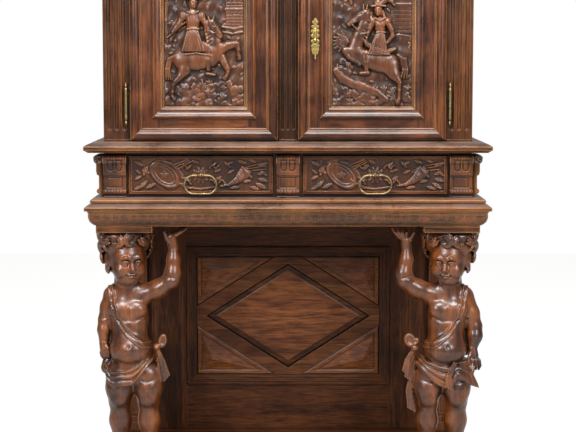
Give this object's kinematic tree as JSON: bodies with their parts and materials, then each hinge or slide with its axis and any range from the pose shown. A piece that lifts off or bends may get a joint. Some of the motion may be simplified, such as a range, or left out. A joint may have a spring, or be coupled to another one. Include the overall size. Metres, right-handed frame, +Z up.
{
  "type": "carved cabinet on stand",
  "caption": "Dark walnut cupboard with carved relief doors over a drawer frieze, carried on an open stand by carved child figures before a lozenge-panelled back.",
  "frame": {"origin": "on the floor, in the middle of the plan of the widest mouldings", "axes": "+Z up, +X to the right as seen from the front, +Y to the back"},
  "size_m": [1.2, 0.5, 1.88],
  "materials": {
    "walnut": "polished dark walnut with worn lighter edges",
    "secondary_wood": "unpolished oak",
    "brass": "aged brass",
    "iron": "dark forged iron"
  },
  "bodies": {
    "cabinet": {"bun_feet": "walnut", "plinth_moulding": "walnut", "plinth_boards": "walnut", "rear_posts": "walnut", "stand_back_board": "walnut", "stand_back_frame": "walnut", "back_panel_band": "walnut", "lozenge_strips": "walnut", "lozenge_moulding": "walnut", "back_panels": "walnut", "abacus_blocks": "walnut", "left_putto": "walnut", "right_putto": "walnut", "stand_cornice": "walnut", "stand_boards": "walnut", "drawer_case_sides": "walnut", "drawer_case_back": "walnut", "drawer_front_posts": "walnut", "drawer_rails": "walnut", "front_consoles": "walnut", "side_consoles": "walnut", "waist_board": "walnut", "waist_moulding": "walnut", "upper_side_frames": "walnut", "upper_side_panels": "walnut", "upper_back": "walnut", "outer_pilasters": "walnut", "centre_pilaster": "walnut", "head_boards": "walnut", "top_cornice": "walnut", "top_boards": "walnut", "drawer_divider": "secondary_wood", "drawer_runners": "secondary_wood", "inner_shelf": "secondary_wood", "shelf_cleats": "secondary_wood", "door_stops": "secondary_wood", "hinge_case_halves": "brass", "strike_plate": "iron"},
    "left_door": {"left_door_frame": "walnut", "left_door_mouldings": "walnut", "left_door_panel": "walnut", "left_door_hinges": "brass", "shoot_bolt_guides": "iron"},
    "left_door_bolt": {"shoot_bolt": "iron"},
    "right_door": {"right_door_frame": "walnut", "right_door_mouldings": "walnut", "right_door_panel": "walnut", "right_door_hinges": "brass", "key_escutcheon": "brass", "lock_case": "iron"},
    "right_door_lock_bolt": {"lock_bolt": "iron"},
    "left_drawer": {"left_drawer_front": "walnut", "left_drawer_box": "secondary_wood", "left_drawer_pull_mount": "brass"},
    "left_pull": {"left_drawer_ring": "brass"},
    "right_drawer": {"right_drawer_front": "walnut", "right_drawer_box": "secondary_wood", "right_drawer_pull_mount": "brass"},
    "right_pull": {"right_drawer_ring": "brass"}
  },
  "joints": [
    {"name": "left_door_swing", "type": "hinge", "parent": "cabinet", "child": "left_door", "pos_m": [-0.478, -0.2005, 1.408], "axis": [0, 0, -1], "range_deg": [0, 110]},
    {"name": "right_door_swing", "type": "hinge", "parent": "cabinet", "child": "right_door", "pos_m": [0.478, -0.2005, 1.408], "axis": [0, 0, 1], "range_deg": [0, 110]},
    {"name": "left_drawer_slide", "type": "slide", "parent": "cabinet", "child": "left_drawer", "axis": [0, -1, 0], "range_m": [0, 0.3]},
    {"name": "right_drawer_slide", "type": "slide", "parent": "cabinet", "child": "right_drawer", "axis": [0, -1, 0], "range_m": [0, 0.3]},
    {"name": "left_pull_swing", "type": "hinge", "parent": "left_drawer", "child": "left_pull", "pos_m": [-0.2585, -0.218, 1.0065], "axis": [-1, 0, 0], "range_deg": [0, 85]},
    {"name": "right_pull_swing", "type": "hinge", "parent": "right_drawer", "child": "right_pull", "pos_m": [0.2585, -0.218, 1.0065], "axis": [-1, 0, 0], "range_deg": [0, 85]},
    {"name": "lock_bolt_throw", "type": "slide", "parent": "right_door", "child": "right_door_lock_bolt", "axis": [-1, 0, 0], "range_m": [0, 0.012]},
    {"name": "shoot_bolt_throw", "type": "slide", "parent": "left_door", "child": "left_door_bolt", "axis": [0, 0, 1], "range_m": [0, 0.012]}
  ]
}
